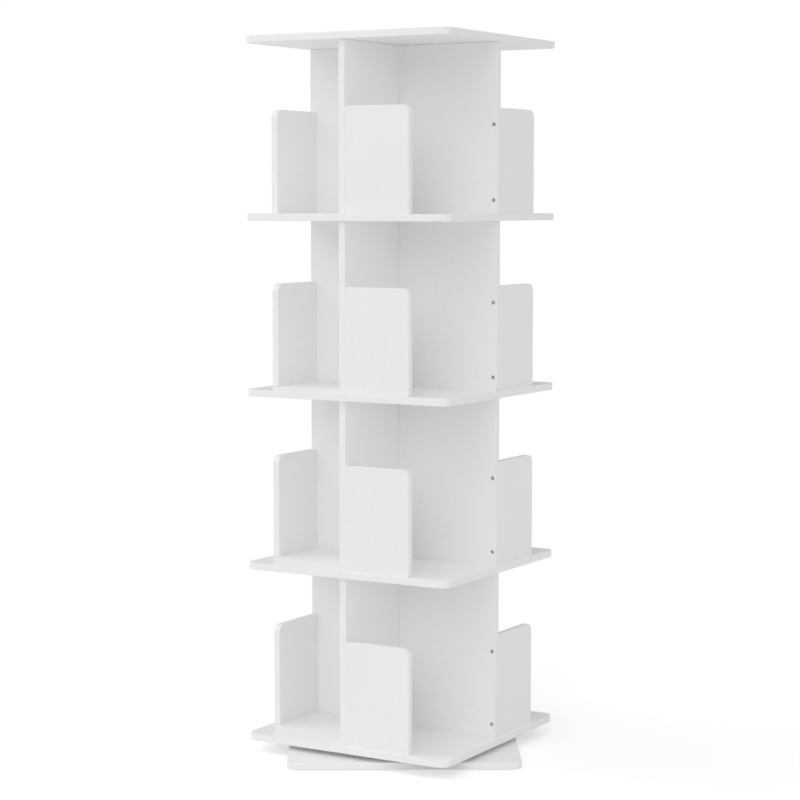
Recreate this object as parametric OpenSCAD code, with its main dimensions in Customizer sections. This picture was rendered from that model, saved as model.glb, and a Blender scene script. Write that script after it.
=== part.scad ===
// Revolving bookcase with four tiers.
// A square base board lies on the floor and carries a flat ball-bearing turntable.
// The whole stack above it turns as one: five boards, and on each tier four upright
// panels in a pinwheel round the axis, each with a low fence that keeps the books in.
// Millimetres, +Z up. The origin is on the turning axis, on the floor.
// The stack lies square to the axes (fence side names: front is -Y, right is +X).

/* [Boards] */
// Side of every square board of the stack
board_w = 450; // [400:5:560]
// Thickness of boards, panels and fences
board_t = 13.5; // [12:0.5:18]
// Corner radius of the boards, seen from above
corner_r = 20; // [6:1:30]
// Height from one board to the next, top face to top face
tier_pitch = 340; // [300:1:400]
// How far the boards reach out past the panels and fences
overhang = 8.5; // [1:0.5:20]

/* [Fences] */
// Length of a fence along the board's edge
fence_w = 140; // [90:1:160]
// Height of a fence above its board
fence_h = 202; // [140:1:240]
// Radius of the fence's free top corner
fence_r = 16; // [4:1:40]
// Height of the lower fence screw above the board
screw_low = 26; // [18:1:40]
// Distance of the upper fence screw below the fence's top
screw_drop = 32; // [18:1:50]

/* [Base] */
// Side of the base board
base_w = 450; // [400:5:560]
// Thickness of the base board
base_t = 13.5; // [12:0.5:25]
// How far the base is turned against the stack, in degrees
base_turn = 31.2; // [0:0.1:90]
// Thickness of the soft pads under the base
pad_h = 2; // [1.5:0.5:5]
// Diameter of a pad
pad_d = 28; // [16:1:40]

/* [Turntable] */
// Height of the turntable, which is the gap between base and bottom board
table_h = 9.5; // [9:0.5:14]
// Diameter of the circle on which the balls run
race_d = 270; // [220:1:300]
// Diameter of a bearing ball
ball_d = 6; // [5:0.5:6]
// Number of balls
ball_n = 40; // [16:2:48]
// Screws in each ring
ring_screws = 6; // [4:1:8]

/* [Fittings] */
// Diameter of a cam lock
cam_d = 15; // [12:0.5:15]
// Height of a cam lock's centre above the panel's lower end
cam_z = 24; // [20:1:34]
// Diameter of the wood dowels
dowel_d = 6; // [5:0.5:8]
// Head diameter of the fence and board screws
head_d = 8; // [7:0.5:9]
// Shank diameter of the fence and board screws
shank_d = 4; // [3.5:0.5:4.5]

/* [Hidden] */
$fn = 64;

white = "#f1f1ef";
steel = "#b9bbbe";
zinc = "#a9adb0";
beech = "#d9b98a";

tiers = 4;
q = board_w / 2 - overhang;          // outer edge of panels and fences, from the axis
clear_h = tier_pitch - board_t;      // free height of a tier
z_base = pad_h;                      // underside of the base board
z_table = z_base + base_t;           // underside of the turntable
z_stack = z_table + table_h;         // underside of the bottom board

// places along a panel, measured out from the axis, that never meet in the board they share
screw_at = [20, 170];                // screws down through the board above
cam_at = [40, 135];                  // cam bolts up from the board below
foot_dowel_at = [92, 195];           // dowels in the panel's lower end
head_dowel_at = [118];               // dowel in the panel's upper end

screw_len = 50;                      // board screws
fence_screw_len = 40;
screw_edge = 7.5;                    // fence screws, in from the panel's outer edge
dowel_l = 30;
dowel_in = 10;                       // how deep a dowel sits in a board
bolt_in = 10.5;                      // how deep a cam bolt is screwed into a board
cam_depth = board_t - 2.2;
cap_d = 10;
cap_h = 1.8;                         // flush caps in the top board, over the screw heads
fit = 0.05;                          // radial clearance of dowels, shanks and cams

ball_r = ball_d / 2;
race_r = race_d / 2;
groove_r = ball_r + 0.25;
land = 1.5;                          // from the balls' circle to each ring's face
wall = 4.6;                          // radial wall behind the groove
flange_w = 9.5;
flange_t = 2.6;
lift = 0.8;                          // each ring is free of the board it isn't screwed to
cage_h = ball_d + 1.5;               // a web of 0.7 mm above and below each ball
out_wall = race_r + land + wall;
in_wall = race_r - land - wall;
out_hole_r = out_wall + flange_w / 2 + 0.3;
in_hole_r = in_wall - flange_w / 2 - 0.3;
ring_head_d = 6.5;
ring_shank_d = 3.5;
ring_screw_len = 12;

function board_z(i) = z_stack + i * tier_pitch;          // underside of board i, 0 to 4
function tier_z(k) = board_z(k - 1) + board_t;           // floor of tier k, 1 to 4

// ---- shared shapes ----

// square plate with rounded corners, standing on z = 0
module plate(w, t, r) {
    linear_extrude(height = t) union() {
        square([w, w - 2 * r], center = true);
        square([w - 2 * r, w], center = true);
        for (sx = [-1, 1], sy = [-1, 1])
            translate([sx * (w / 2 - r), sy * (w / 2 - r)]) circle(r);
    }
}

// countersunk screw with a cross recess, head at z = 0, pointing down
module csk_screw(d, hd, len) {
    cone = (hd - d) / 2;
    difference() {
        rotate_extrude() polygon([
            [0, 0], [hd / 2, 0], [hd / 2, -0.4], [d / 2, -0.4 - cone],
            [d / 2, -len + 3], [0.3, -len], [0, -len]
        ]);
        for (a = [0, 90]) rotate([0, 0, a])
            translate([-hd * 0.29, -hd * 0.06, -1.5]) cube([hd * 0.58, hd * 0.12, 2]);
    }
}

// its hole: head recess at z = 0, then a clearance bore that ends at depth len
module csk_hole(d, hd, len) {
    cone = (hd - d) / 2;
    translate([0, 0, -len - 0.3]) cylinder(h = len + 0.3, d = d + 2 * fit);
    translate([0, 0, -0.5 - cone]) cylinder(h = cone, d1 = d + 2 * fit, d2 = hd + 0.2);
    translate([0, 0, -0.5]) cylinder(h = 1.5, d = hd + 0.2);
}

// the four quarter turns of the pinwheel
module around() for (a = [0, 90, 180, 270]) rotate([0, 0, a]) children();

// ---- base and turntable ----

module foot_pads() color("#d8d8d4") rotate([0, 0, base_turn])
    for (sx = [-1, 1], sy = [-1, 1])
        translate([sx * (base_w / 2 - 38), sy * (base_w / 2 - 38), 0])
            cylinder(h = pad_h, d = pad_d);

module base_board() color(white) rotate([0, 0, base_turn]) difference() {
    translate([0, 0, z_base]) plate(base_w, base_t, min(corner_r, base_w / 8));
    // pilot holes for the screws of the outer ring
    for (i = [0 : ring_screws - 1]) rotate([0, 0, 360 * i / ring_screws])
        translate([out_hole_r, 0, z_table - ring_screw_len + flange_t - 0.5])
            cylinder(h = ring_screw_len, d = ring_shank_d + 2 * fit);
    // access hole: the screws of the inner ring are driven through it, one after the other
    rotate([0, 0, 45]) translate([in_hole_r, 0, z_base - 1]) cylinder(h = base_t + 2, d = 12);
}

// the ring that is screwed to the base: groove in its inner face, flange outwards
module turntable_outer_ring() color("#c9ccce") rotate([0, 0, base_turn]) difference() {
    translate([0, 0, z_table]) rotate_extrude($fn = 180) difference() {
        polygon([
            [race_r + land, 0], [out_wall + flange_w, 0], [out_wall + flange_w, flange_t],
            [out_wall, flange_t], [out_wall, table_h - lift], [race_r + land, table_h - lift]
        ]);
        translate([race_r, table_h / 2]) circle(groove_r);
    }
    for (i = [0 : ring_screws - 1]) rotate([0, 0, 360 * i / ring_screws])
        translate([out_hole_r, 0, z_table + flange_t]) csk_hole(ring_shank_d, ring_head_d, 6);
}

// the ring that is screwed under the bottom board: groove in its outer face, flange inwards
module turntable_inner_ring() color("#c9ccce") difference() {
    translate([0, 0, z_table]) rotate_extrude($fn = 180) difference() {
        polygon([
            [in_wall, lift], [race_r - land, lift], [race_r - land, table_h],
            [in_wall - flange_w, table_h], [in_wall - flange_w, table_h - flange_t],
            [in_wall, table_h - flange_t]
        ]);
        translate([race_r, table_h / 2]) circle(groove_r);
    }
    for (i = [0 : ring_screws - 1]) rotate([0, 0, 15 + 360 * i / ring_screws])
        translate([in_hole_r, 0, z_stack - flange_t]) mirror([0, 0, 1])
            csk_hole(ring_shank_d, ring_head_d, 6);
}

module outer_ring_screws() color(steel) rotate([0, 0, base_turn])
    for (i = [0 : ring_screws - 1]) rotate([0, 0, 360 * i / ring_screws])
        translate([out_hole_r, 0, z_table + flange_t - 0.1])
            csk_screw(ring_shank_d, ring_head_d, ring_screw_len);

module inner_ring_screws() color(steel)
    for (i = [0 : ring_screws - 1]) rotate([0, 0, 15 + 360 * i / ring_screws])
        translate([in_hole_r, 0, z_stack - flange_t + 0.1]) mirror([0, 0, 1])
            csk_screw(ring_shank_d, ring_head_d, ring_screw_len);

module bearing_balls() color("silver")
    for (i = [0 : ball_n - 1]) rotate([0, 0, 360 * i / ball_n])
        translate([race_r, 0, z_table + table_h / 2]) sphere(d = ball_d);

// thin ring that keeps the balls apart and goes round with them
module ball_cage() color("#e9e6da") difference() {
    translate([0, 0, z_table + table_h / 2 - cage_h / 2]) difference() {
        cylinder(h = cage_h, r = race_r + 0.8, $fn = 180);
        translate([0, 0, -1]) cylinder(h = cage_h + 2, r = race_r - 0.8, $fn = 180);
    }
    for (i = [0 : ball_n - 1]) rotate([0, 0, 360 * i / ball_n])
        translate([race_r - 3, 0, z_table + table_h / 2]) rotate([0, 90, 0])
            cylinder(h = 6, d = ball_d + 2 * fit);
}

// ---- boards ----

// holes in a board's upper face for the panels that stand on it
module sockets_above() around() {
    for (d = cam_at) translate([-board_t / 2, -d, board_t - bolt_in - 0.5])
        cylinder(h = bolt_in + 2, d = 6 + 2 * fit);
    for (d = foot_dowel_at) translate([-board_t / 2, -d, board_t - dowel_in - 0.3])
        cylinder(h = dowel_in + 2, d = dowel_d + 2 * fit);
}

// holes for the panels below: screws from above, sunk by drop, and a dowel from below
module sockets_below(drop) around() {
    for (d = screw_at) translate([-board_t / 2, -d, board_t - drop])
        csk_hole(shank_d, head_d, board_t + 2);
    for (d = head_dowel_at) translate([-board_t / 2, -d, -2])
        cylinder(h = dowel_in + 2.3, d = dowel_d + 2 * fit);
}

module bottom_board() color(white) translate([0, 0, board_z(0)]) difference() {
    plate(board_w, board_t, corner_r);
    sockets_above();
    for (i = [0 : ring_screws - 1]) rotate([0, 0, 15 + 360 * i / ring_screws])
        translate([in_hole_r, 0, -1])
            cylinder(h = ring_screw_len - flange_t + 1.5, d = ring_shank_d + 2 * fit);
}

module shelf_board(i) color(white) translate([0, 0, board_z(i)]) difference() {
    plate(board_w, board_t, corner_r);
    sockets_above();
    sockets_below(0);
}

module shelf_board_1() shelf_board(1);
module shelf_board_2() shelf_board(2);
module shelf_board_3() shelf_board(3);

module top_board() color(white) translate([0, 0, board_z(tiers)]) difference() {
    plate(board_w, board_t, corner_r);
    sockets_below(cap_h);
    around() for (d = screw_at) translate([-board_t / 2, -d, board_t - cap_h])
        cylinder(h = cap_h + 1, d = cap_d + 2 * fit);
}

module top_board_caps() color("#eeeeec") translate([0, 0, board_z(tiers) + board_t - cap_h])
    around() for (d = screw_at) translate([-board_t / 2, -d, 0])
        cylinder(h = cap_h - 0.1, d = cap_d);

// ---- uprights ----

// the panel to the left of the front fence, on tier k, turned to its side by quarter turns;
// its lock bores open towards the fence, its fence screws go in from the other face
module panel(k, turn) color(white) rotate([0, 0, 90 * turn]) translate([0, 0, tier_z(k)])
    difference() {
        translate([-board_t, -q, 0]) cube([board_t, q, clear_h]);
        for (z = [screw_low, fence_h - screw_drop])
            translate([-board_t, -(q - screw_edge), z]) rotate([0, -90, 0])
                csk_hole(shank_d, head_d, board_t + 2);
        for (d = cam_at) {
            translate([-cam_depth - 0.2, -d, cam_z]) rotate([0, 90, 0])
                cylinder(h = cam_depth + 2, d = cam_d + 2 * fit);
            translate([-board_t / 2, -d, -1]) cylinder(h = cam_z + 1, d = 8);
        }
        for (d = foot_dowel_at) translate([-board_t / 2, -d, -1])
            cylinder(h = dowel_l - dowel_in + 1.3, d = dowel_d + 2 * fit);
        for (d = head_dowel_at) translate([-board_t / 2, -d, clear_h - dowel_l + dowel_in - 0.3])
            cylinder(h = dowel_l, d = dowel_d + 2 * fit);
        for (d = screw_at)
            translate([-board_t / 2, -d, clear_h - (screw_len - board_t) - cap_h - 0.5])
                cylinder(h = screw_len, d = shank_d + 2 * fit);
    }

// low fence along the board's edge, its free top corner rounded
module fence(k, turn) color(white) rotate([0, 0, 90 * turn]) translate([0, 0, tier_z(k)])
    difference() {
        translate([0, -q + board_t, 0]) rotate([90, 0, 0]) linear_extrude(height = board_t) union() {
            square([fence_w - fence_r, fence_h]);
            square([fence_w, fence_h - fence_r]);
            translate([fence_w - fence_r, fence_h - fence_r]) circle(fence_r);
        }
        for (z = [screw_low, fence_h - screw_drop])
            translate([-1, -(q - screw_edge), z]) rotate([0, 90, 0])
                cylinder(h = fence_screw_len - board_t + 1.5, d = shank_d + 2 * fit);
    }

module tier1_panel_front() panel(1, 0);
module tier1_panel_right() panel(1, 1);
module tier1_panel_back() panel(1, 2);
module tier1_panel_left() panel(1, 3);
module tier2_panel_front() panel(2, 0);
module tier2_panel_right() panel(2, 1);
module tier2_panel_back() panel(2, 2);
module tier2_panel_left() panel(2, 3);
module tier3_panel_front() panel(3, 0);
module tier3_panel_right() panel(3, 1);
module tier3_panel_back() panel(3, 2);
module tier3_panel_left() panel(3, 3);
module tier4_panel_front() panel(4, 0);
module tier4_panel_right() panel(4, 1);
module tier4_panel_back() panel(4, 2);
module tier4_panel_left() panel(4, 3);

module tier1_fence_front() fence(1, 0);
module tier1_fence_right() fence(1, 1);
module tier1_fence_back() fence(1, 2);
module tier1_fence_left() fence(1, 3);
module tier2_fence_front() fence(2, 0);
module tier2_fence_right() fence(2, 1);
module tier2_fence_back() fence(2, 2);
module tier2_fence_left() fence(2, 3);
module tier3_fence_front() fence(3, 0);
module tier3_fence_right() fence(3, 1);
module tier3_fence_back() fence(3, 2);
module tier3_fence_left() fence(3, 3);
module tier4_fence_front() fence(4, 0);
module tier4_fence_right() fence(4, 1);
module tier4_fence_back() fence(4, 2);
module tier4_fence_left() fence(4, 3);

// ---- fittings ----

// through each panel into the end of its fence
module fence_screws() color(steel)
    for (k = [1 : tiers]) translate([0, 0, tier_z(k)]) around()
        for (z = [screw_low, fence_h - screw_drop])
            translate([-board_t + 0.15, -(q - screw_edge), z]) rotate([0, -90, 0])
                csk_screw(shank_d, head_d, fence_screw_len);

// down through each board into the upper ends of the panels below it
module board_screws() color(steel)
    for (k = [1 : tiers]) translate([0, 0, board_z(k) + board_t - (k == tiers ? cap_h : 0) - 0.15])
        around() for (d = screw_at) translate([-board_t / 2, -d, 0])
            csk_screw(shank_d, head_d, screw_len);

// cam lock, seen on the panel's face; it closes on the head of the bolt that enters from below
module cam_lock() difference() {
    translate([-cam_depth, 0, 0]) rotate([0, 90, 0]) cylinder(h = cam_depth - 0.2, d = cam_d);
    translate([-board_t / 2, 0, -cam_d]) cylinder(h = cam_d + 3.4, d = 7.6);
    for (a = [45, 135]) rotate([a, 0, 0])
        translate([-1.4, -cam_d * 0.3, -0.75]) cube([3, cam_d * 0.6, 1.5]);
}

module cam_locks() color(zinc)
    for (k = [1 : tiers]) translate([0, 0, tier_z(k)]) around()
        for (d = cam_at) translate([0, -d, cam_z]) cam_lock();

// bolt with its lower end screwed into the board and its neck and head inside the lock
module cam_bolts() color(steel)
    for (k = [1 : tiers]) translate([0, 0, tier_z(k)]) around()
        for (d = cam_at) translate([-board_t / 2, -d, 0]) rotate_extrude() polygon([
            [0, -bolt_in], [1.6, -bolt_in], [3, -bolt_in + 2.5], [3, 0], [3.7, 0], [3.7, cam_z - 8],
            [2, cam_z - 6], [2, cam_z - 2.5], [3.3, cam_z - 1.5], [3.3, cam_z + 1.2],
            [2.4, cam_z + 2.4], [0, cam_z + 2.4]
        ]);

module dowel() rotate_extrude() polygon([
    [0, 0], [dowel_d / 2 - 0.8, 0], [dowel_d / 2, 0.8], [dowel_d / 2, dowel_l - 0.8],
    [dowel_d / 2 - 0.8, dowel_l], [0, dowel_l]
]);

module dowels() color(beech)
    for (k = [1 : tiers]) translate([0, 0, tier_z(k)]) around() {
        for (d = foot_dowel_at) translate([-board_t / 2, -d, -dowel_in]) dowel();
        for (d = head_dowel_at) translate([-board_t / 2, -d, clear_h + dowel_in - dowel_l]) dowel();
    }

base_board();
foot_pads();
turntable_outer_ring();
outer_ring_screws();
ball_cage();
bearing_balls();
turntable_inner_ring();
inner_ring_screws();
bottom_board();
shelf_board_1();
shelf_board_2();
shelf_board_3();
top_board();
tier1_panel_front();
tier1_panel_right();
tier1_panel_back();
tier1_panel_left();
tier2_panel_front();
tier2_panel_right();
tier2_panel_back();
tier2_panel_left();
tier3_panel_front();
tier3_panel_right();
tier3_panel_back();
tier3_panel_left();
tier4_panel_front();
tier4_panel_right();
tier4_panel_back();
tier4_panel_left();
tier1_fence_front();
tier1_fence_right();
tier1_fence_back();
tier1_fence_left();
tier2_fence_front();
tier2_fence_right();
tier2_fence_back();
tier2_fence_left();
tier3_fence_front();
tier3_fence_right();
tier3_fence_back();
tier3_fence_left();
tier4_fence_front();
tier4_fence_right();
tier4_fence_back();
tier4_fence_left();
fence_screws();
board_screws();
cam_locks();
cam_bolts();
dowels();
top_board_caps();
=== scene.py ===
"""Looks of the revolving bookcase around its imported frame: boards, panels and fences as edge-rounded
slabs with their drilled holes, detailed fittings, finishes, stage, light and camera.
Metres, in the row frame. Lengths written as n * MM are millimetres."""

import math

import bmesh
import bpy
import numpy as np
from mathutils import Matrix, Vector


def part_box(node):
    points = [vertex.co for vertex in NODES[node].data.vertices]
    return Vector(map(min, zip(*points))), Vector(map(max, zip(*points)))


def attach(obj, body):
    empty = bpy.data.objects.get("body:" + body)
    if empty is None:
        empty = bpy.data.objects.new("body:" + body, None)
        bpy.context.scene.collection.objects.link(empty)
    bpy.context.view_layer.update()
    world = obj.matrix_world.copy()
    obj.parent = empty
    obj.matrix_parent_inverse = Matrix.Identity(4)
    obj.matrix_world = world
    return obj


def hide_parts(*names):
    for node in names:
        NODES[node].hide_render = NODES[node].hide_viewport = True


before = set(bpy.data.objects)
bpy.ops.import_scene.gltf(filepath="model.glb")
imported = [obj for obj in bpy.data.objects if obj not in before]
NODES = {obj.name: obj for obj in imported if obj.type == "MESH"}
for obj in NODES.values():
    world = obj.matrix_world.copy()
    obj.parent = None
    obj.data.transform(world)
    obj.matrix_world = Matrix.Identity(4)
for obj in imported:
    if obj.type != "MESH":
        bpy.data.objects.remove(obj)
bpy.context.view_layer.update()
MM = 0.001

# ------------------------------------------------------------------ sizes, as the frame has them
T = 13.5  # board thickness
EDGE = 1.0  # radius of every arris of the boards
FIT = 0.05
SIDES = ("front", "right", "back", "left")
TIERS = 4


def span(node):
    lo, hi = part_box(node)
    return [v / MM for v in lo], [v / MM for v in hi]


(_, _, FLOOR_Z), (BOARD_H, _, _) = span("bottom_board")  # half a board's side
Q = -span("tier1_panel_front")[0][1]  # outer edge of panels and fences
CLEAR = span("tier1_panel_front")[1][2] - span("tier1_panel_front")[0][2]
FENCE_W = span("tier1_fence_front")[1][0]
FENCE_H = span("tier1_fence_front")[1][2] - span("tier1_fence_front")[0][2]
TIER_Z = [span(f"tier{k}_panel_front")[0][2] for k in range(1, TIERS + 1)]
BOARD_Z = [z - T for z in TIER_Z] + [span("top_board")[0][2]]
BASE_Z = span("base_board")[0][2]
BASE_H = 225.0
BASE_TURN = math.radians(31.2)
CORNER_R, FENCE_R = 20.0, 16.0
SCREW_AT, CAM_AT = (20.0, 170.0), (40.0, 135.0)
FOOT_DOWEL_AT, HEAD_DOWEL_AT = (92.0, 195.0), (118.0,)
SCREW_Z = (26.0, FENCE_H - 32.0)
SCREW_EDGE, CAM_Z = 7.5, 24.0
HEAD_D, SHANK_D, CAM_D, DOWEL_D = 8.0, 4.0, 15.0, 6.0
CAP_D, CAP_H = 10.0, 1.8
CAM_DEPTH = T - 2.2
IN_HOLE_R, OUT_HOLE_R = 123.85, 146.15
RACE_R, BALL_R, BALL_N = 135.0, 3.0, 40
BALL_Z = (span("bearing_balls")[0][2] + span("bearing_balls")[1][2]) / 2


# ------------------------------------------------------------------ mesh tools
def outline(rect, radii, off, ease):
    """Points of a rectangle with rounded corners, drawn in by off times each side's ease (-u, -v, +u, +v sides)."""
    x0, y0, x1, y1 = rect
    corners = ((x0, y0, 1, 1, 180, 0, 1), (x1, y0, -1, 1, 270, 2, 1), (x1, y1, -1, -1, 0, 2, 3), (x0, y1, 1, -1, 90, 0, 3))
    points = []
    for (cx, cy, sx, sy, start, across, along), radius in zip(corners, radii):
        steps = 4 if radius < 3 else 16
        r = max(radius - off, 0.04)
        ox, oy = cx + sx * (off * ease[across] + r), cy + sy * (off * ease[along] + r)
        for i in range(steps + 1):
            a = math.radians(start + 90 * i / steps)
            points.append((ox + r * math.cos(a), oy + r * math.sin(a)))
    return points


def slab(rect, radii, thick, edge=EDGE, margin=2.2, ease=(1, 1, 1, 1)):
    """A board as a bmesh in (u, v, w): rounded outline, every arris rounded, a narrow ring of faces beside each arris.
    A side with a small ease has a nearly square arris, as a sawn end that stands against another board."""
    steps = 4
    rings = [(edge + margin, 0.0)]
    for i in range(steps + 1):
        a = math.pi / 2 * (1 - i / steps)
        rings.append((edge * (1 - math.cos(a)), edge * (1 - math.sin(a))))
    rings.append((0.0, edge + margin))
    rings += [(off, thick - w) for off, w in reversed(rings)]
    bm = bmesh.new()
    loops = []
    for off, w in rings:
        loops.append([bm.verts.new((x, y, w)) for x, y in outline(rect, radii, off, ease)])
    n = len(loops[0])
    for a, b in zip(loops, loops[1:]):
        for i in range(n):
            j = (i + 1) % n
            bm.faces.new((a[i], a[j], b[j], b[i]))
    bm.faces.new(list(reversed(loops[0])))
    bm.faces.new(loops[-1])
    bm.normal_update()
    return bm


def lathe(bm, origin, axis, profile, n=32, close=True):
    """Turned solid: profile is (distance along axis, radius) from one end to the other; an end of radius 0 is a point."""
    axis = Vector(axis).normalized()
    side = axis.orthogonal().normalized()
    if abs(axis.z) < 0.5:
        side = Vector((0, 0, 1)) - axis * axis.z
        side.normalize()
    other = axis.cross(side)
    origin = Vector(origin)
    rings = []
    for s, r in profile:
        if r <= 1e-9:
            rings.append([bm.verts.new(origin + axis * s)])
        else:
            rings.append(
                [
                    bm.verts.new(
                        origin + axis * s + side * (r * math.cos(2 * math.pi * i / n)) + other * (r * math.sin(2 * math.pi * i / n))
                    )
                    for i in range(n)
                ]
            )
    made = []
    for a, b in zip(rings, rings[1:]):
        for i in range(n):
            j = (i + 1) % n
            if len(a) == 1:
                made.append(bm.faces.new((a[0], b[j], b[i])))
            elif len(b) == 1:
                made.append(bm.faces.new((a[i], a[j], b[0])))
            else:
                made.append(bm.faces.new((a[i], a[j], b[j], b[i])))
    if close:
        if len(rings[0]) > 1:
            made.append(bm.faces.new(list(reversed(rings[0]))))
        if len(rings[-1]) > 1:
            made.append(bm.faces.new(rings[-1]))
    return made


def to_mesh(bm, name):
    bmesh.ops.recalc_face_normals(bm, faces=bm.faces)
    me = bpy.data.meshes.new(name)
    bm.to_mesh(me)
    bm.free()
    return me


def cut(me, tools, operation="DIFFERENCE"):
    """me less (or joined with) each tool mesh in turn, by the exact solver."""
    for tool in tools:
        a = bpy.data.objects.new("cut_a", me)
        b = bpy.data.objects.new("cut_b", tool)
        for o in (a, b):
            bpy.context.scene.collection.objects.link(o)
        m = a.modifiers.new("cut", "BOOLEAN")
        m.operation, m.solver, m.object = operation, "EXACT", b
        bpy.context.view_layer.update()
        dg = bpy.context.evaluated_depsgraph_get()
        made = bpy.data.meshes.new_from_object(a.evaluated_get(dg))
        bpy.data.objects.remove(a)
        bpy.data.objects.remove(b)
        bpy.data.meshes.remove(me)
        bpy.data.meshes.remove(tool)
        me = made
    return me


def tidy(me, least=0.004):
    """Merges points closer than least and drops the faces that collapse, which a cut leaves along its edges."""
    bm = bmesh.new()
    bm.from_mesh(me)
    bmesh.ops.remove_doubles(bm, verts=bm.verts, dist=least)
    bmesh.ops.dissolve_degenerate(bm, dist=least, edges=bm.edges)
    bmesh.ops.triangulate(bm, faces=[f for f in bm.faces if len(f.verts) > 4])
    bmesh.ops.dissolve_degenerate(bm, dist=least, edges=bm.edges)
    bm.to_mesh(me)
    bm.free()
    return me


def tool(*solids):
    """One cutter mesh of turned solids that don't touch each other, each (origin, axis, profile)."""
    bm = bmesh.new()
    for origin, axis, profile in solids:
        lathe(bm, origin, axis, profile)
    return to_mesh(bm, "tool")


def shade(me, limit=40.0):
    """Corner normals: faces square to the axes stay flat, round ones shade round and meet the flats without a seam."""
    nf = len(me.polygons)
    normals = np.zeros(nf * 3)
    me.polygons.foreach_get("normal", normals)
    normals = normals.reshape(-1, 3)
    flat = np.abs(normals).max(1) > 0.999995
    corner_vert = np.zeros(len(me.loops), int)
    me.loops.foreach_get("vertex_index", corner_vert)
    sizes = np.zeros(nf, int)
    me.polygons.foreach_get("loop_total", sizes)
    corner_face = np.repeat(np.arange(nf), sizes)
    out = normals[corner_face].copy()
    around = {}
    for c, (v, f) in enumerate(zip(corner_vert, corner_face)):
        around.setdefault(int(v), []).append((c, int(f)))
    least = math.cos(math.radians(limit))
    for found in around.values():
        ids = [f for _, f in found]
        ns = normals[ids]
        dots = ns @ ns.T
        for i, (c, f) in enumerate(found):
            if flat[f]:
                continue
            near = dots[i] > least
            flats = [j for j in range(len(ids)) if near[j] and flat[ids[j]]]
            if flats:
                out[c] = ns[max(flats, key=lambda j: dots[i][j])]
            else:
                s = ns[near].sum(0)
                out[c] = s / np.linalg.norm(s)
    me.polygons.foreach_set("use_smooth", np.ones(nf, bool))
    me.update()
    me.normals_split_custom_set(out.tolist())
    return me


def mark(me, rect, radii, thick, to_local, edge=EDGE, reach=2.0):
    """Point attribute rim (1 on the arrises, fading beside them), face attribute band (narrow sides), bore walls to slot 1."""
    co = np.zeros(len(me.vertices) * 3)
    me.vertices.foreach_get("co", co)
    co = co.reshape(-1, 3) @ np.array(to_local).T
    x0, y0, x1, y1 = rect

    def inside(p):
        """how far inside the outline, and how far inside the two faces"""
        u, v, w = p.T
        d = np.minimum.reduce([u - x0, x1 - u, v - y0, y1 - v])
        for (cx, cy, sx, sy), r in zip(((x0, y0, 1, 1), (x1, y0, -1, 1), (x1, y1, -1, -1), (x0, y1, 1, -1)), radii):
            du, dv = (cx + sx * r - u) * sx, (cy + sy * r - v) * sy
            d = np.where((du > 0) & (dv > 0), r - np.hypot(du, dv), d)
        return d, np.minimum(w, thick - w)

    d, f = inside(co)
    far = np.hypot(np.maximum(d - edge, 0), np.maximum(f - edge, 0))
    rim = np.where((d < edge + 0.01) | (f < edge + 0.01), 1.0, 0.0) * np.clip(1 - far / reach, 0, 1)
    me.attributes.new("rim", "FLOAT", "POINT").data.foreach_set("value", rim.astype(np.float32))
    centre = np.zeros(len(me.polygons) * 3)
    me.polygons.foreach_get("center", centre)
    normal = np.zeros(len(me.polygons) * 3)
    me.polygons.foreach_get("normal", normal)
    centre = centre.reshape(-1, 3) @ np.array(to_local).T
    normal = normal.reshape(-1, 3) @ np.array(to_local).T
    d, f = inside(centre)
    depth = np.where((d < edge) & (f < edge), edge - np.hypot(edge - d, edge - f), np.minimum(d, f))
    bore = depth > 0.16
    band = ((np.abs(normal[:, 2]) < 0.6) & ~bore).astype(np.float32)
    me.attributes.new("band", "FLOAT", "FACE").data.foreach_set("value", band)
    me.polygons.foreach_set("material_index", bore.astype(np.int32))
    return me


def grouped(parts, name):
    """Copies of meshes, each moved by its matrices, as one mesh with its corner normals kept."""
    verts, faces, normals, slots = [], [], [], []
    for me, matrices in parts:
        nv = len(me.vertices)
        co = np.zeros(nv * 3)
        me.vertices.foreach_get("co", co)
        co = co.reshape(-1, 3)
        cn = np.array([c.vector[:] for c in me.corner_normals])
        polys = [list(p.vertices) for p in me.polygons]
        index = [p.material_index for p in me.polygons]
        for m in matrices:
            a = np.array(m)
            base = len(verts)
            verts.extend((co @ a[:3, :3].T + a[:3, 3]).tolist())
            faces.extend([[base + v for v in p] for p in polys])
            normals.extend((cn @ a[:3, :3].T).tolist())
            slots.extend(index)
    made = bpy.data.meshes.new(name)
    made.from_pydata(verts, [], faces)
    made.polygons.foreach_set("use_smooth", np.ones(len(faces), bool))
    made.polygons.foreach_set("material_index", np.array(slots, np.int32))
    made.update()
    made.normals_split_custom_set(normals)
    return made


def piece(name, me, body, nodes, slot, *materials):
    """The mesh (in mm) as a piece of the object that stands for its CAD node."""
    me.transform(Matrix.Scale(MM, 4))
    me.name = name
    me.materials.clear()
    for m in materials:
        me.materials.append(m)
    o = bpy.data.objects.new(name, me)
    bpy.context.scene.collection.objects.link(o)
    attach(o, body)
    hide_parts(*nodes)
    return o


def turned(k):
    return Matrix.Rotation(math.pi / 2 * k, 4, "Z")


def lifted(z):
    return Matrix.Translation((0, 0, z))


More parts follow.
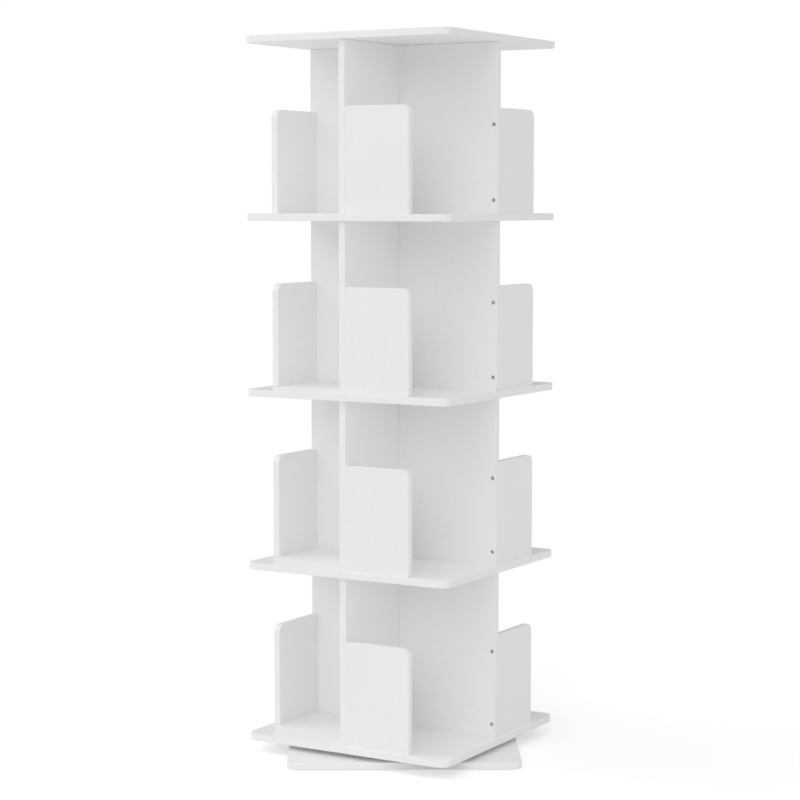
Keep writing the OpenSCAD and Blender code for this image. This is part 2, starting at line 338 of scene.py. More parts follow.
# ------------------------------------------------------------------ finishes
class Finish:
    """A node material. Numbers that are the same all over are set straight on the shader."""

    def __init__(self, name, **fixed):
        self.mat = bpy.data.materials.new(name)
        self.mat.use_nodes = True
        self.tree = self.mat.node_tree
        self.tree.nodes.clear()
        self.shader = self.tree.nodes.new("ShaderNodeBsdfPrincipled")
        out = self.tree.nodes.new("ShaderNodeOutputMaterial")
        self.link(self.shader.outputs[0], out.inputs[0])
        for key, value in fixed.items():
            self.shader.inputs[key.replace("_", " ")].default_value = value
        self.where = self.tree.nodes.new("ShaderNodeTexCoord").outputs["Object"]
        self.bumped = None

    def link(self, a, b):
        self.tree.links.new(a, b)

    def put(self, socket, value):
        if isinstance(value, bpy.types.NodeSocket):
            self.link(value, socket)
        else:
            socket.default_value = value

    def stretch(self, scale, turn=(0, 0, 0)):
        n = self.tree.nodes.new("ShaderNodeMapping")
        self.link(self.where, n.inputs["Vector"])
        n.inputs["Scale"].default_value = scale
        n.inputs["Rotation"].default_value = turn
        return n.outputs[0]

    def noise(self, scale, detail=2.0, rough=0.5, at=None, distort=0.0):
        n = self.tree.nodes.new("ShaderNodeTexNoise")
        self.link(at or self.where, n.inputs["Vector"])
        n.inputs["Scale"].default_value = scale
        n.inputs["Detail"].default_value = detail
        n.inputs["Roughness"].default_value = rough
        n.inputs["Distortion"].default_value = distort
        return n.outputs[0]

    def cells(self, scale, feature="F1", at=None, out="Distance"):
        n = self.tree.nodes.new("ShaderNodeTexVoronoi")
        n.feature = feature
        self.link(at or self.where, n.inputs["Vector"])
        n.inputs["Scale"].default_value = scale
        return n.outputs[out]

    def attribute(self, name):
        n = self.tree.nodes.new("ShaderNodeAttribute")
        n.attribute_name = name
        return n.outputs["Fac"]

    def math(self, op, a, b=0.0, c=0.0):
        n = self.tree.nodes.new("ShaderNodeMath")
        n.operation = op
        for socket, value in zip(n.inputs, (a, b, c)):
            self.put(socket, value)
        return n.outputs[0]

    def scaled(self, value, low, high, to_low=0.0, to_high=1.0):
        n = self.tree.nodes.new("ShaderNodeMapRange")
        for key, v in zip(("Value", "From Min", "From Max", "To Min", "To Max"), (value, low, high, to_low, to_high)):
            self.put(n.inputs[key], v)
        return n.outputs[0]

    def blend(self, factor, a, b):
        n = self.tree.nodes.new("ShaderNodeMix")
        n.data_type = "RGBA"
        n.clamp_factor = True
        self.put(n.inputs[0], factor)
        self.put(n.inputs[6], a if isinstance(a, bpy.types.NodeSocket) else (*a, 1.0))
        self.put(n.inputs[7], b if isinstance(b, bpy.types.NodeSocket) else (*b, 1.0))
        return n.outputs[2]

    def bump(self, height, distance, strength=1.0):
        n = self.tree.nodes.new("ShaderNodeBump")
        n.inputs["Strength"].default_value = strength
        n.inputs["Distance"].default_value = distance
        self.put(n.inputs["Height"], height)
        if self.bumped is not None:
            self.link(self.bumped, n.inputs["Normal"])
        self.bumped = n.outputs[0]
        self.link(self.bumped, self.shader.inputs["Normal"])

    def colour(self, socket):
        self.link(socket, self.shader.inputs["Base Color"])

    def roughness(self, socket):
        self.link(socket, self.shader.inputs["Roughness"])


def white_foil():
    f = Finish("white_foil", IOR=1.47, Coat_Weight=0.12, Coat_Roughness=0.22)
    broad, mottle = f.noise(5.5, 3.0, 0.55), f.noise(85.0, 3.0, 0.6)
    tone = f.blend(f.scaled(broad, 0.3, 0.7), (0.938, 0.9385, 0.940), (0.956, 0.9555, 0.9545))
    tone = f.blend(f.scaled(mottle, 0.35, 0.75, 0.0, 0.35), tone, (0.931, 0.931, 0.9305))
    tone = f.blend(f.math("MULTIPLY", f.attribute("band"), 0.35), tone, (0.952, 0.950, 0.947))
    worn = f.math("MULTIPLY", f.attribute("rim"), f.scaled(f.noise(130.0, 4.0, 0.65), 0.42, 0.72, 0.04, 0.5))
    f.colour(f.blend(worn, tone, (0.860, 0.855, 0.846)))
    rough = f.scaled(f.noise(22.0, 4.0, 0.6), 0.3, 0.7, 0.34, 0.46)
    f.roughness(f.math("ADD", rough, f.math("MULTIPLY", f.attribute("rim"), 0.07)))
    f.bump(f.noise(7.0, 1.0, 0.4), 0.0006, 0.18)
    f.bump(f.noise(950.0, 2.0, 0.55), 0.00006, 0.35)
    return f.mat


def board_core():
    f = Finish("board_core", Roughness=0.92, IOR=1.4)
    chips = f.cells(620.0, out="Color")
    fine = f.noise(1800.0, 3.0, 0.6)
    tone = f.blend(f.scaled(f.noise(700.0, 3.0, 0.7), 0.3, 0.7), (0.36, 0.25, 0.15), (0.62, 0.49, 0.33))
    f.colour(f.blend(f.scaled(f.math("MULTIPLY", chips, 1.0), 0.2, 0.9, 0.0, 0.45), tone, (0.70, 0.58, 0.41)))
    f.bump(f.math("ADD", f.cells(620.0), fine), 0.0003, 0.8)
    return f.mat


def plated_steel():
    f = Finish("plated_steel", Metallic=1.0)
    tone = f.blend(f.scaled(f.noise(240.0, 3.0, 0.6), 0.3, 0.7), (0.42, 0.425, 0.43), (0.53, 0.535, 0.54))
    f.colour(tone)
    f.roughness(f.scaled(f.noise(900.0, 3.0, 0.6), 0.3, 0.7, 0.24, 0.42))
    f.bump(f.noise(2600.0, 2.0, 0.5), 0.00002, 0.4)
    return f.mat


def painted_recess_shade():
    """The floor and walls of the cross recesses, coloured near-black metal as painted shade in the recess."""
    f = Finish("painted_recess_shade", Metallic=1.0)
    # near-black colour: painted shade of the recess, not the steel's own colour
    f.colour(f.blend(f.scaled(f.noise(600.0, 3.0, 0.6), 0.3, 0.7), (0.035, 0.035, 0.037), (0.075, 0.075, 0.078)))
    f.roughness(f.scaled(f.noise(900.0, 2.0), 0.3, 0.7, 0.48, 0.62))
    return f.mat


def cast_zinc():
    f = Finish("cast_zinc", Metallic=1.0)
    f.colour(f.blend(f.scaled(f.noise(160.0, 4.0, 0.65), 0.3, 0.7), (0.64, 0.65, 0.66), (0.76, 0.765, 0.77)))
    f.roughness(f.scaled(f.noise(420.0, 3.0, 0.6), 0.3, 0.7, 0.42, 0.6))
    f.bump(f.noise(1500.0, 3.0, 0.6), 0.00006, 0.6)
    return f.mat


def turned_aluminium():
    """Turned on a lathe: fine lines run round the axis."""
    f = Finish("turned_aluminium", Metallic=1.0)
    split = f.tree.nodes.new("ShaderNodeSeparateXYZ")
    f.link(f.where, split.inputs[0])
    x, y, z = split.outputs
    r = f.math("SQRT", f.math("ADD", f.math("MULTIPLY", x, x), f.math("MULTIPLY", y, y)))
    put = f.tree.nodes.new("ShaderNodeCombineXYZ")
    f.link(f.math("MULTIPLY", r, 3200.0), put.inputs[0])
    f.link(f.math("MULTIPLY", z, 3200.0), put.inputs[1])
    f.link(f.math("MULTIPLY", f.math("ARCTAN2", y, x), 1.2), put.inputs[2])
    lines = f.noise(1.0, 3.0, 0.6, at=put.outputs[0])
    f.colour(f.blend(f.scaled(f.noise(38.0, 4.0, 0.6), 0.3, 0.7), (0.62, 0.625, 0.63), (0.74, 0.745, 0.75)))
    f.roughness(f.scaled(lines, 0.3, 0.7, 0.26, 0.44))
    f.bump(lines, 0.00003, 0.6)
    return f.mat


def ball_steel():
    f = Finish("ball_steel", Metallic=1.0)
    f.colour(f.blend(f.scaled(f.noise(300.0), 0.3, 0.7), (0.66, 0.665, 0.67), (0.72, 0.725, 0.73)))
    f.roughness(f.scaled(f.noise(1200.0, 3.0), 0.3, 0.7, 0.06, 0.14))
    return f.mat


def natural_nylon():
    f = Finish("natural_nylon", IOR=1.53)
    f.colour(f.blend(f.scaled(f.noise(90.0, 3.0), 0.3, 0.7), (0.76, 0.74, 0.66), (0.82, 0.80, 0.73)))
    f.roughness(f.scaled(f.noise(500.0, 2.0), 0.3, 0.7, 0.42, 0.55))
    f.bump(f.noise(1600.0, 2.0), 0.00003, 0.4)
    return f.mat


def raw_beech():
    f = Finish("raw_beech", IOR=1.4)
    along = f.stretch((1.0, 1.0, 0.06))
    rings = f.noise(420.0, 3.0, 0.6, at=along, distort=0.6)
    flecks = f.cells(1500.0, at=f.stretch((1.0, 1.0, 0.18)))
    tone = f.blend(f.scaled(rings, 0.3, 0.7), (0.50, 0.32, 0.17), (0.68, 0.48, 0.29))
    f.colour(f.blend(f.scaled(flecks, 0.0, 0.35, 0.45, 0.0), tone, (0.40, 0.24, 0.12)))
    f.roughness(f.scaled(rings, 0.3, 0.7, 0.6, 0.78))
    f.bump(rings, 0.0001, 0.6)
    return f.mat


def cap_plastic():
    f = Finish("cap_plastic", IOR=1.49)
    f.colour(f.blend(f.scaled(f.noise(140.0, 3.0), 0.3, 0.7), (0.83, 0.832, 0.83), (0.86, 0.86, 0.855)))
    f.roughness(f.scaled(f.noise(700.0, 3.0), 0.3, 0.7, 0.36, 0.48))
    f.bump(f.noise(2200.0, 2.0), 0.00002, 0.5)
    return f.mat


def foam():
    f = Finish("pad_foam", IOR=1.4)
    pores = f.cells(1500.0)
    f.colour(f.blend(f.scaled(pores, 0.1, 0.6), (0.52, 0.52, 0.50), (0.66, 0.66, 0.64)))
    f.roughness(f.scaled(pores, 0.1, 0.6, 0.82, 0.96))
    f.bump(pores, 0.0003, 0.7)
    return f.mat


FOIL, CORE, STEEL, ZINC = white_foil(), board_core(), plated_steel(), cast_zinc()
ALUMINIUM, BALLS, NYLON, BEECH = turned_aluminium(), ball_steel(), natural_nylon(), raw_beech()
CAP, FOAM, RECESS_SHADE = cap_plastic(), foam(), painted_recess_shade()

# ------------------------------------------------------------------ holes, as profiles from the surface inwards
OUT = -1.5  # a cutter starts this far outside the surface


def plain(r, depth):
    return [(OUT, r), (depth, r)]


def sunk(d, hd, depth, start=0.0):
    """Countersunk hole: head recess, cone, clearance bore."""
    cone = (hd - d) / 2
    return [(OUT, hd / 2 + 0.1), (start + 0.5, hd / 2 + 0.1), (start + 0.5 + cone, d / 2 + FIT), (depth, d / 2 + FIT)]


def around(spots):
    """Positions on the front panel's centre line, at distances from the axis, for all four sides."""
    return [turned(i) @ Vector((-T / 2, -d, 0)) for i in range(4) for d in spots]


IDENTITY = np.eye(3)
BOARD_RECT, BOARD_RADII = (-BOARD_H, -BOARD_H, BOARD_H, BOARD_H), (CORNER_R,) * 4


def board(top=(), below=(), rect=BOARD_RECT, edge=EDGE):
    """A square board in its own frame, underside at 0. top and below are (x, y, profile) holes."""
    me = to_mesh(slab(rect, BOARD_RADII, T, edge), "board")
    ups = [((x, y, T), (0, 0, -1), p) for x, y, p in top]
    downs = [((x, y, 0), (0, 0, 1), p) for x, y, p in below]
    if ups or downs:
        me = cut(me, [tool(*ups, *downs)])
    shade(me)
    return mark(me, rect, BOARD_RADII, T, IDENTITY, edge)


above = [(p.x, p.y, plain(3 + FIT, 11.0)) for p in around(CAM_AT)]
above += [(p.x, p.y, plain(DOWEL_D / 2 + FIT, 10.3)) for p in around(FOOT_DOWEL_AT)]
through = [(p.x, p.y, sunk(SHANK_D, HEAD_D, T + 1.5)) for p in around(SCREW_AT)]
under = [(p.x, p.y, plain(DOWEL_D / 2 + FIT, 10.3)) for p in around(HEAD_DOWEL_AT)]


def ring_spots(r, first, count=6):
    return [(r * math.cos(math.radians(first + 60 * i)), r * math.sin(math.radians(first + 60 * i))) for i in range(count)]


bottom = board(above, [(x, y, plain(1.75 + FIT, 9.9)) for x, y in ring_spots(IN_HOLE_R, 15)])
shelf = board(above + through, under)
capped = sunk(SHANK_D, HEAD_D, T + 1.5, CAP_H)
capped = [(OUT, CAP_D / 2 + FIT), (CAP_H, CAP_D / 2 + FIT), (CAP_H, HEAD_D / 2 + 0.1)] + capped[1:]
top = board([(p.x, p.y, capped) for p in around(SCREW_AT)], under)
base = board(
    [(x, y, plain(1.75 + FIT, 9.9)) for x, y in ring_spots(OUT_HOLE_R, 0)]
    + [(IN_HOLE_R * math.cos(math.pi / 4), IN_HOLE_R * math.sin(math.pi / 4), plain(6.0, T + 1.5))]
)

piece("board_bottom", bottom.copy(), "stack", ["bottom_board"], "board_white", FOIL, CORE).data.transform(
    Matrix.Translation((0, 0, BOARD_Z[0] * MM))
)
for i in (1, 2, 3):
    o = piece(f"board_shelf_{i}", shelf.copy(), "stack", [f"shelf_board_{i}"], "board_white", FOIL, CORE)
    o.data.transform(Matrix.Translation((0, 0, BOARD_Z[i] * MM)))
piece("board_top", top, "stack", ["top_board"], "board_white", FOIL, CORE).data.transform(
    Matrix.Translation((0, 0, BOARD_Z[4] * MM))
)
piece("board_base", base, "base", ["base_board"], "board_white", FOIL, CORE).data.transform(
    Matrix.Translation((0, 0, BASE_Z * MM)) @ Matrix.Rotation(BASE_TURN, 4, "Z")
)

# ------------------------------------------------------------------ uprights
# front panel on z = 0: u, v, w are y, z and x; a hairline joint stays open under the board above
P_RECT, P_RADII = (-Q, 0.0, 0.0, CLEAR - 0.3), (1.6, 1.6, 1.6, 1.6)
P_MAP = Matrix(((0, 0, 1, -T), (1, 0, 0, 0), (0, 1, 0, 0), (0, 0, 0, 1)))
bm = slab(P_RECT, P_RADII, T, ease=(1, 0.12, 0.15, 0.6))
bm.transform(P_MAP)
panel = to_mesh(bm, "panel")
first = [((-T, -(Q - SCREW_EDGE), z), (1, 0, 0), sunk(SHANK_D, HEAD_D, T + 1.5)) for z in SCREW_Z]
first += [((0, -d, CAM_Z), (-1, 0, 0), plain(CAM_D / 2 + FIT, CAM_DEPTH + 0.2)) for d in CAM_AT]
first += [((-T / 2, -d, 0), (0, 0, 1), plain(DOWEL_D / 2 + FIT, 20.3)) for d in FOOT_DOWEL_AT]
first += [((-T / 2, -d, CLEAR), (0, 0, -1), plain(DOWEL_D / 2 + FIT, 20.3)) for d in HEAD_DOWEL_AT]
first += [((-T / 2, -d, CLEAR), (0, 0, -1), plain(SHANK_D / 2 + FIT, 38.8)) for d in SCREW_AT]
second = [((-T / 2, -d, 0), (0, 0, 1), plain(4.0, CAM_Z)) for d in CAM_AT]
panel = shade(cut(panel, [tool(*first), tool(*second)]))
P_LOCAL = np.array(((0, 1, 0), (0, 0, 1), (1, 0, 0)))


def mark_panel(me):
    me.transform(Matrix.Translation((T, 0, 0)))
    mark(me, P_RECT, P_RADII, T, P_LOCAL)
    me.transform(Matrix.Translation((-T, 0, 0)))
    return me


mark_panel(panel)

# front fence on z = 0: u, v, w are x, z and -y
F_RECT, F_RADII = (0.0, 0.0, FENCE_W, FENCE_H), (1.6, 1.6, FENCE_R, 2.4)
F_MAP = Matrix(((1, 0, 0, 0), (0, 0, -1, -Q + T), (0, 1, 0, 0), (0, 0, 0, 1)))
bm = slab(F_RECT, F_RADII, T, ease=(0.4, 0.12, 1, 1))
bm.transform(F_MAP)
fence = to_mesh(bm, "fence")
pilots = [((0, -(Q - SCREW_EDGE), z), (1, 0, 0), plain(SHANK_D / 2 + FIT, 27.0)) for z in SCREW_Z]
fence = shade(cut(fence, [tool(*pilots)]))
fence.transform(Matrix.Translation((0, Q - T, 0)))
mark(fence, F_RECT, F_RADII, T, np.array(((1, 0, 0), (0, 0, 1), (0, -1, 0))))
fence.transform(Matrix.Translation((0, -Q + T, 0)))

for k in range(1, TIERS + 1):
    for i, side in enumerate(SIDES):
        place = lifted(TIER_Z[k - 1]) @ turned(i)
        for kind, proto in (("panel", panel), ("fence", fence)):
            me = proto.copy()
            me.transform(place)
            piece(f"{kind}_{k}_{side}", me, "stack", [f"tier{k}_{kind}_{side}"], "board_white", FOIL, CORE)


# ------------------------------------------------------------------ fittings
def wedge(bm, half, wide, deep, narrow, shallow_half):
    """One arm pair of a cross recess: a slot that tapers to a narrow, short floor. Mouth at z = 0, downwards."""
    top_z, low_z = 0.3, -deep
    slope = (half - shallow_half) / deep
    hw = half + slope * top_z
    mouth = [(-hw, -wide, top_z), (hw, -wide, top_z), (hw, wide, top_z), (-hw, wide, top_z)]
    floor = [(-shallow_half, -narrow, low_z), (shallow_half, -narrow, low_z), (shallow_half, narrow, low_z), (-shallow_half, narrow, low_z)]
    a, b = [bm.verts.new(p) for p in mouth], [bm.verts.new(p) for p in floor]
    bm.faces.new(a)
    bm.faces.new(list(reversed(b)))
    for i in range(4):
        j = (i + 1) % 4
        bm.faces.new((a[j], a[i], b[i], b[j]))


def cross_tools(half, wide, deep, narrow, shallow_half, turn=0.0):
    tools = []
    for a in (0.0, math.pi / 2):
        bm = bmesh.new()
        wedge(bm, half, wide, deep, narrow, shallow_half)
        bm.transform(Matrix.Rotation(a + turn, 4, "Z"))
        tools.append(to_mesh(bm, "cross"))
    return tools


def paint_recess_shade(me, reach):
    """Faces sunk below the head within reach of its middle take the second material, the painted shade of the recess.
    """
    for p in me.polygons:
        if p.center.z < -0.02 and math.hypot(p.center.x, p.center.y) < reach and p.center.z > -2.7:
            p.material_index = 1
    return me


def screw(d, hd, length):
    """Countersunk cross-recess screw, head at z = 0, pointing down; its rim is eased and its thread cut as ridges."""
    cone = (hd - d) / 2
    profile = [(0, 0.0), (0.0, hd / 2 - 0.28), (0.06, hd / 2 - 0.1), (0.2, hd / 2), (0.4, hd / 2), (0.4 + cone, d / 2), (9.0, d / 2)]
    s, pitch, root = 9.0, 1.8, d / 2 - 0.55
    while s + pitch < length - 3:
        profile += [(s + 0.35, root), (s + pitch - 0.35, root + 0.06), (s + pitch, d / 2)]
        s += pitch
    profile += [(length - 3, root), (length - 0.4, 0.35), (length, 0.0)]
    bm = bmesh.new()
    lathe(bm, (0, 0, 0), (0, 0, -1), profile, n=28)
    me = cut(to_mesh(bm, "screw"), cross_tools(hd * 0.29, hd * 0.085, 1.9, hd * 0.05, hd * 0.1))
    return paint_recess_shade(shade(tidy(me), 32), hd * 0.29 + 0.3)


def aim(origin, axis, turn=0.0):
    """Places a piece made with its head at z = 0, pointing down -z, so that it points along axis."""
    q = Vector((0, 0, -1)).rotation_difference(Vector(axis))
    return Matrix.Translation(origin) @ q.to_matrix().to_4x4() @ Matrix.Rotation(turn, 4, "Z")


fence_screw, places, n = screw(SHANK_D, HEAD_D, 40.0), [], 0
for k in range(TIERS):
    for i in range(4):
        for z in SCREW_Z:
            n += 1
            spin = math.radians((n * 47) % 90)
            places.append(lifted(TIER_Z[k]) @ turned(i) @ aim((-T + 0.3, -(Q - SCREW_EDGE), z), (1, 0, 0), spin))
# the second material is the painted shade in the cross recesses
piece("fittings_fence_screws", grouped([(fence_screw, places)], "fence_screws"), "stack", ["fence_screws"], "screw_steel", STEEL, RECESS_SHADE)

board_screw, places = screw(SHANK_D, HEAD_D, 50.0), []
for k in range(1, TIERS + 1):
    z = BOARD_Z[k] + T - (CAP_H if k == TIERS else 0) - 0.15
    for p in around(SCREW_AT):
        n += 1
        places.append(aim((p.x, p.y, z), (0, 0, -1), math.radians((n * 47) % 90)))
# the second material is the painted shade in the cross recesses
piece("fittings_board_screws", grouped([(board_screw, places)], "board_screws"), "stack", ["board_screws"], "screw_steel", STEEL, RECESS_SHADE)

# cam lock: face at z = 0, the body below it; the bolt comes in along -y
r = CAM_D / 2
depth = CAM_DEPTH - 0.2
bm = bmesh.new()
lathe(
    bm,
    (0, 0, 0),
    (0, 0, -1),
    [(0.25, 0.0), (0.25, r - 1.9), (0.0, r - 1.6), (0.0, r - 0.35), (0.12, r - 0.1), (0.35, r), (depth - 0.4, r), (depth, r - 0.4), (depth, 0.0)],
    n=48,
)
lock = to_mesh(bm, "lock")
bm = bmesh.new()
lathe(bm, (0, -CAM_D, -(T / 2 - 0.2)), (0, 1, 0), [(0, 3.8), (CAM_D + 3.4, 3.8)], n=32)
passage = to_mesh(bm, "passage")
bm = bmesh.new()
arrow = [(0.0, -r + 0.55), (0.62, -r + 1.45), (-0.62, -r + 1.45)]
lo, hi = [bm.verts.new((x, y, -0.3)) for x, y in arrow], [bm.verts.new((x, y, 0.4)) for x, y in arrow]
bm.faces.new(hi)
bm.faces.new(list(reversed(lo)))
for i in range(3):
    bm.faces.new((lo[i], lo[(i + 1) % 3], hi[(i + 1) % 3], hi[i]))
lock = cut(lock, [passage, to_mesh(bm, "arrow")] + cross_tools(4.4, 0.85, 2.6, 0.62, 2.0, math.pi / 4))
shade(tidy(lock), 32)
places = []
for k in range(TIERS):
    for i in range(4):
        for d in CAM_AT:
            # z of the lock along +x, its y along +z
            face = Matrix(((0, 0, 1, -0.2), (1, 0, 0, -d), (0, 1, 0, CAM_Z), (0, 0, 0, 1)))
            places.append(lifted(TIER_Z[k]) @ turned(i) @ face)
piece("fittings_cam_locks", grouped([(lock, places)], "cam_locks"), "stack", ["cam_locks"], "lock_zinc", ZINC)

bm = bmesh.new()
h = CAP_H - 0.1
lathe(
    bm,
    (0, 0, 0),
    (0, 0, 1),
    [(0, 0.0), (0, CAP_D / 2 - 0.3), (0.25, CAP_D / 2), (h - 0.3, CAP_D / 2), (h - 0.09, CAP_D / 2 - 0.09), (h, CAP_D / 2 - 0.35), (h, 2.2), (h - 0.05, 2.05), (h - 0.05, 0.0)],
    n=48,
)
cap = shade(to_mesh(bm, "cap"), 50)
places = [lifted(BOARD_Z[4] + T - CAP_H) @ Matrix.Translation((p.x, p.y, 0)) for p in around(SCREW_AT)]
piece("fittings_top_caps", grouped([(cap, places)], "caps"), "stack", ["top_board_caps"], "cap_plastic", CAP)

bm = bmesh.new()
lathe(bm, (0, 0, 0), (0, 0, 1), [(0, 0.0), (0, 13.3), (0.12, 13.75), (0.4, 14.0), (1.75, 14.0), (2.0, 13.8), (2.0, 0.0)], n=64)
pad = shade(to_mesh(bm, "pad"), 50)
o = BASE_H - 38
places = [Matrix.Rotation(BASE_TURN, 4, "Z") @ Matrix.Translation((a * o, b * o, 0)) for a in (-1, 1) for b in (-1, 1)]
piece("fittings_foot_pads", grouped([(pad, places)], "pads"), "base", ["foot_pads"], "pad_foam", FOAM)

# fluted dowels, pointing up from z = 0
bm = bmesh.new()
flutes, rings = 60, []
for s, r in ((0, DOWEL_D / 2 - 0.8), (0.8, DOWEL_D / 2), (29.2, DOWEL_D / 2), (30.0, DOWEL_D / 2 - 0.8)):
    rings.append(
        [
            bm.verts.new(((r - (0.22 if i % 3 == 0 else 0.0)) * math.cos(2 * math.pi * i / flutes), (r - (0.22 if i % 3 == 0 else 0.0)) * math.sin(2 * math.pi * i / flutes), s))
            for i in range(flutes)
        ]
    )
for a, b in zip(rings, rings[1:]):
    for i in range(flutes):
        bm.faces.new((a[i], a[(i + 1) % flutes], b[(i + 1) % flutes], b[i]))
bm.faces.new(list(reversed(rings[0])))
bm.faces.new(rings[-1])
dowel = shade(to_mesh(bm, "dowel"), 12)
places = []
for z in TIER_Z:
    places += [Matrix.Translation((p.x, p.y, z - 10)) for p in around(FOOT_DOWEL_AT)]
    places += [Matrix.Translation((p.x, p.y, z + CLEAR + 10 - 30)) for p in around(HEAD_DOWEL_AT)]
piece("fittings_dowels", grouped([(dowel, places)], "dowels"), "stack", ["dowels"], "dowel_beech", BEECH)

# bearing balls, midway in the turntable's height
bm = bmesh.new()
arc = [(-BALL_R * math.cos(math.pi * i / 16), BALL_R * math.sin(math.pi * i / 16) if 0 < i < 16 else 0.0) for i in range(17)]
lathe(bm, (0, 0, 0), (0, 0, 1), arc, n=28)
ball = shade(to_mesh(bm, "ball"))
places = [Matrix.Rotation(2 * math.pi * i / BALL_N, 4, "Z") @ Matrix.Translation((RACE_R, 0, BALL_Z)) for i in range(BALL_N)]
piece("fittings_bearing_balls", grouped([(ball, places)], "balls"), "ball_ring", ["bearing_balls"], "ball_steel", BALLS)

for node, material in (
    ("turntable_outer_ring", ALUMINIUM),
    ("turntable_inner_ring", ALUMINIUM),
    ("outer_ring_screws", STEEL),
    ("inner_ring_screws", STEEL),
    ("cam_bolts", STEEL),
    ("ball_cage", NYLON),
):
    for s in NODES[node].material_slots:
        s.material = material


# ------------------------------------------------------------------ stage, light, camera
def stage_floor(glow, seen, lift):
    """A pale floor: painted and shadowed near the object, and as bright as the studio's white further out.
    glow is the light that the far floor gives, seen its brightness to the eye, lift what the near floor gains to the eye."""
    f = Finish("stage_paint", IOR=1.4, Specular_IOR_Level=0.0)
    f.colour(f.blend(f.scaled(f.noise(1.7, 3.0), 0.3, 0.7), (0.90, 0.90, 0.90), (0.915, 0.915, 0.915)))
    f.roughness(f.scaled(f.noise(3.0, 2.0), 0.3, 0.7, 0.9, 0.98))
    eye = f.tree.nodes.new("ShaderNodeLightPath").outputs["Is Camera Ray"]
    split = f.tree.nodes.new("ShaderNodeSeparateXYZ")
    f.link(f.where, split.inputs[0])
    x, y, _ = split.outputs
    r = f.math("SQRT", f.math("ADD", f.math("MULTIPLY", x, x), f.math("MULTIPLY", y, y)))
    fade = f.tree.nodes.new("ShaderNodeMapRange")
    fade.interpolation_type = "SMOOTHERSTEP"
    f.link(r, fade.inputs["Value"])
    fade.inputs["From Min"].default_value, fade.inputs["From Max"].default_value = 0.30, 1.25
    near, far = f.tree.nodes.new("ShaderNodeEmission"), f.tree.nodes.new("ShaderNodeEmission")
    # light on the underside of the base board, which stands almost on the floor; it shows only from underneath
    turned_in = f.stretch((1, 1, 1), (0, 0, -BASE_TURN))
    own = f.tree.nodes.new("ShaderNodeSeparateXYZ")
    f.link(turned_in, own.inputs[0])
    out_x, out_y = (f.math("ABSOLUTE", v) for v in own.outputs[:2])
    below = f.math("LESS_THAN", f.math("MAXIMUM", out_x, out_y), BASE_H * MM - 0.003)
    shown = f.math("MULTIPLY", eye, lift)
    f.link(f.math("ADD", shown, f.math("MULTIPLY", f.math("SUBTRACT", 1.0, eye), f.math("MULTIPLY", below, 0.16))), near.inputs["Strength"])
    f.link(f.scaled(eye, 0.0, 1.0, glow, seen), far.inputs["Strength"])
    painted, mixed = f.tree.nodes.new("ShaderNodeAddShader"), f.tree.nodes.new("ShaderNodeMixShader")
    f.link(f.shader.outputs[0], painted.inputs[0])
    f.link(near.outputs[0], painted.inputs[1])
    f.link(fade.outputs[0], mixed.inputs[0])
    f.link(painted.outputs[0], mixed.inputs[1])
    f.link(far.outputs[0], mixed.inputs[2])
    # from underneath the floor isn't seen, so that the object's underside is
    clear, one_way = f.tree.nodes.new("ShaderNodeBsdfTransparent"), f.tree.nodes.new("ShaderNodeMixShader")
    f.link(f.tree.nodes.new("ShaderNodeNewGeometry").outputs["Backfacing"], one_way.inputs[0])
    f.link(mixed.outputs[0], one_way.inputs[1])
    f.link(clear.outputs[0], one_way.inputs[2])
    out = [n for n in f.tree.nodes if n.type == "OUTPUT_MATERIAL"][0]
    f.link(one_way.outputs[0], out.inputs[0])
    bm = bmesh.new()
    bm.faces.new([bm.verts.new((60 * math.cos(2 * math.pi * i / 96), 60 * math.sin(2 * math.pi * i / 96), 0)) for i in range(96)])
    me = bpy.data.meshes.new("stage_floor")
    bm.to_mesh(me)
    bm.free()
    me.materials.append(f.mat)
    o = bpy.data.objects.new("stage_floor", me)
    bpy.context.scene.collection.objects.link(o)


def softbox(name, at, watts, width=2.4, height=2.4):
    """A large soft lamp that faces the object and isn't seen itself."""
    lamp = bpy.data.lights.new(name, "AREA")
    lamp.shape, lamp.size, lamp.size_y, lamp.energy = "RECTANGLE", width, height, watts
    o = bpy.data.objects.new(name, lamp)
    bpy.context.scene.collection.objects.link(o)
    o.location = at
    o.rotation_euler = (Vector((0, 0, 0.7)) - Vector(at)).to_track_quat("-Z", "Y").to_euler()
    o.visible_camera = False
    return o


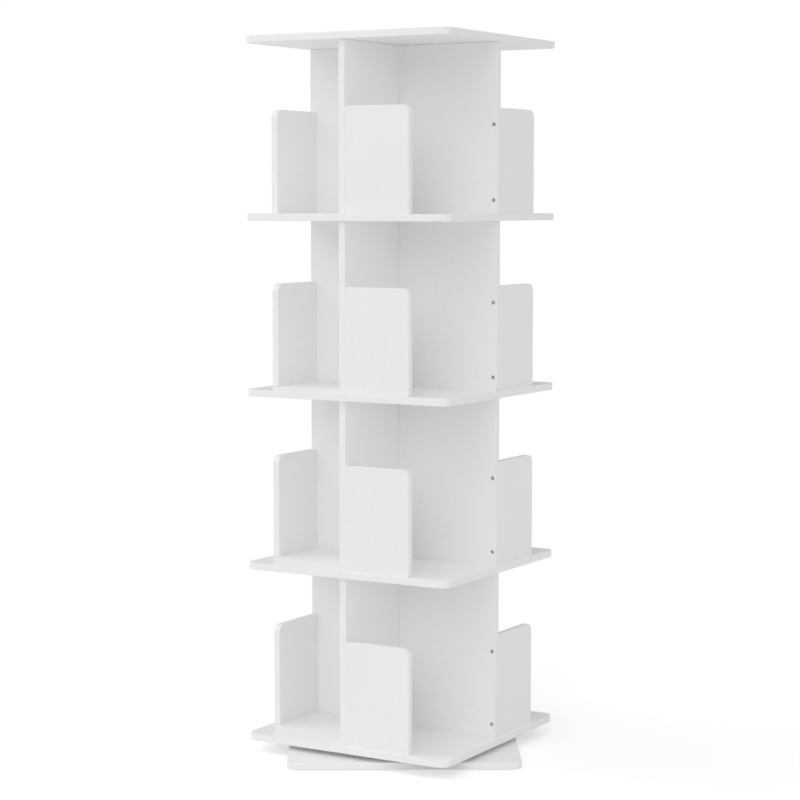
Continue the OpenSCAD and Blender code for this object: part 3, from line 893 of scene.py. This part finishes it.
def studio_world(lobes, seen=1.0):
    """Soft studio light from all round, as lobes: (azimuth, elevation, tightness, amount), azimuth 0 in front of the
    object (-Y) and 90 on its right (+X), in degrees. The backdrop itself is seen plain white."""
    world = bpy.data.worlds.new("studio")
    bpy.context.scene.world = world
    world.use_nodes = True
    t = world.node_tree
    t.nodes.clear()

    def math_node(op, a, b):
        n = t.nodes.new("ShaderNodeMath")
        n.operation = op
        for socket, v in zip(n.inputs, (a, b)):
            if isinstance(v, bpy.types.NodeSocket):
                t.links.new(v, socket)
            else:
                socket.default_value = v
        return n.outputs[0]

    direction = t.nodes.new("ShaderNodeTexCoord").outputs["Generated"]
    total = 0.0
    for azimuth, elevation, tight, amount in lobes:
        a, e = math.radians(azimuth), math.radians(elevation)
        dot = t.nodes.new("ShaderNodeVectorMath")
        dot.operation = "DOT_PRODUCT"
        t.links.new(direction, dot.inputs[0])
        dot.inputs[1].default_value = (math.sin(a) * math.cos(e), -math.cos(a) * math.cos(e), math.sin(e))
        lobe = math_node("POWER", math_node("MAXIMUM", dot.outputs["Value"], 0.0), float(tight))
        total = math_node("ADD", math_node("MULTIPLY", lobe, amount), total)
    soft, white = t.nodes.new("ShaderNodeBackground"), t.nodes.new("ShaderNodeBackground")
    t.links.new(total, soft.inputs[1])
    soft.inputs[0].default_value = white.inputs[0].default_value = (1, 1, 1, 1)
    white.inputs[1].default_value = seen
    mixed = t.nodes.new("ShaderNodeMixShader")
    t.links.new(t.nodes.new("ShaderNodeLightPath").outputs["Is Camera Ray"], mixed.inputs[0])
    t.links.new(soft.outputs[0], mixed.inputs[1])
    t.links.new(white.outputs[0], mixed.inputs[2])
    t.links.new(mixed.outputs[0], t.nodes.new("ShaderNodeOutputWorld").inputs[0])


stage_floor(glow=0.675, seen=1.0, lift=0.36)
studio_world(
    [
        (0, 18, 60, 1.11),
        (22, 18, 60, 2.31),
        (15, 40, 10, 1.44),
        (15, 72, 10, 1.03),
        (60, 8, 10, 0.52),
        (105, 8, 10, 0.49),
        (105, 40, 10, 0.56),
        (180, 40, 10, 1.11),
        (-100, 28, 30, 0.95),
        (-90, 25, 30, 1.84),
    ]
)
softbox("high_left", (-3.0, -1.6, 3.4), 54.0)

view = bpy.context.scene.view_settings
view.view_transform, view.look, view.exposure, view.gamma = "Standard", "None", 0.0, 1.4  # high key

lens = bpy.data.cameras.new("camera")
lens.sensor_width, lens.sensor_fit, lens.lens = 36.0, "HORIZONTAL", 98.33
lens.clip_start, lens.clip_end = 0.05, 60.0
camera = bpy.data.objects.new("camera", lens)
bpy.context.scene.collection.objects.link(camera)
camera.location = (2.1914, -3.7160, 1.0815)
camera.rotation_euler = (math.radians(90 - 5.185), 0.0, math.radians(30.609))
bpy.context.scene.camera = camera
